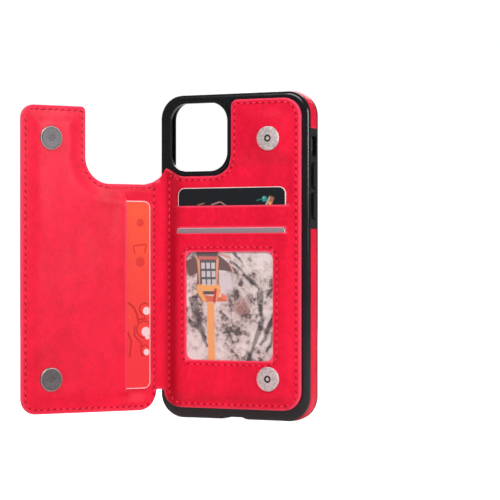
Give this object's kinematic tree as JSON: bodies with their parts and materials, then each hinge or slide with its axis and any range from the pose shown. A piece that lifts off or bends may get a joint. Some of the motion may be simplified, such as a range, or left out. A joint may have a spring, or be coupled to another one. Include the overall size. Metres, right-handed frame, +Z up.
{
  "type": "phone wallet case",
  "caption": "Phone wallet case: moulded shell with leather card pockets and a window on its back, and a flap that folds over them and closes with magnetic snaps.",
  "frame": {"origin": "middle of the face that the phone lies on, on the seat liner", "axes": "+Y out of the screen side of the phone pocket, +Z up the case, +X to the right as seen from the wallet side"},
  "size_m": [0.1146, 0.0706, 0.1474],
  "materials": {
    "shell_plastic": "glossy black moulded shell",
    "lining": "soft dark lining",
    "board": "grey fibre board",
    "foam": "thin padding",
    "leather": "bright red smooth grained leather",
    "clear_film": "clear soft film",
    "nickel": "satin nickel plate",
    "magnet": "sintered magnet",
    "black_card": "black plastic card",
    "orange_card": "orange-red plastic card",
    "printed_paper": "printed picture insert"
  },
  "bodies": {
    "case": {"shell": "shell_plastic", "seat_liner": "lining", "back_board": "board", "base_panel": "leather", "top_pad": "foam", "top_panel": "leather", "upper_spacer": "leather", "middle_panel": "leather", "lower_spacer": "leather", "lower_panel": "leather", "window_film": "clear_film", "patch_right_upper": "leather", "patch_right_lower": "leather", "patch_left_upper": "leather", "patch_left_lower": "leather", "snap_upper_cap": "nickel", "snap_upper_magnet": "magnet", "snap_upper_washer": "nickel", "snap_lower_cap": "nickel", "snap_lower_magnet": "magnet", "snap_lower_washer": "nickel"},
    "volume_up": {"volume_up_cover": "shell_plastic"},
    "volume_down": {"volume_down_cover": "shell_plastic"},
    "power": {"power_cover": "shell_plastic"},
    "card_in_upper_slot": {"card_upper": "black_card"},
    "picture": {"picture_insert": "printed_paper"},
    "spine": {"spine_leather": "leather", "spine_lining": "leather"},
    "flap": {"flap_outer_leather": "leather", "flap_foam": "foam", "flap_board": "board", "flap_inner_leather": "leather", "flap_spacer": "leather", "flap_pocket_panel": "leather", "flap_snap_upper_cap": "nickel", "flap_snap_upper_washer": "nickel", "flap_snap_lower_cap": "nickel", "flap_snap_lower_washer": "nickel"},
    "card_in_flap": {"flap_card": "orange_card"}
  },
  "joints": [
    {"name": "spine_fold", "type": "hinge", "parent": "case", "child": "spine", "pos_m": [-0.0333, -0.0029, -0.01], "axis": [0, 0, 1], "range_deg": [-28, 62]},
    {"name": "flap_fold", "type": "hinge", "parent": "spine", "child": "flap", "pos_m": [-0.03807, -0.00544, -0.01], "axis": [0, 0, 1], "range_deg": [-28, 62]},
    {"name": "volume_up_press", "type": "slide", "parent": "case", "child": "volume_up", "axis": [-1, 0, 0], "range_m": [0, 0.0004], "stiffness_N_per_m": 2500},
    {"name": "volume_down_press", "type": "slide", "parent": "case", "child": "volume_down", "axis": [-1, 0, 0], "range_m": [0, 0.0004], "stiffness_N_per_m": 2500},
    {"name": "power_press", "type": "slide", "parent": "case", "child": "power", "axis": [1, 0, 0], "range_m": [0, 0.0004], "stiffness_N_per_m": 2500},
    {"name": "card_lift", "type": "slide", "parent": "case", "child": "card_in_upper_slot", "axis": [0, 0, 1], "range_m": [0, 0.008]},
    {"name": "picture_lift", "type": "slide", "parent": "case", "child": "picture", "axis": [0, 0, 1], "range_m": [0, 0.015]},
    {"name": "flap_card_slide", "type": "slide", "parent": "flap", "child": "card_in_flap", "axis": [-0.5592, -0.829, 0], "range_m": [-0.0015, 0.003]}
  ],
  "couplings": [
    {"joint": "spine_fold", "follows": "flap_fold", "ratio": 1}
  ]
}
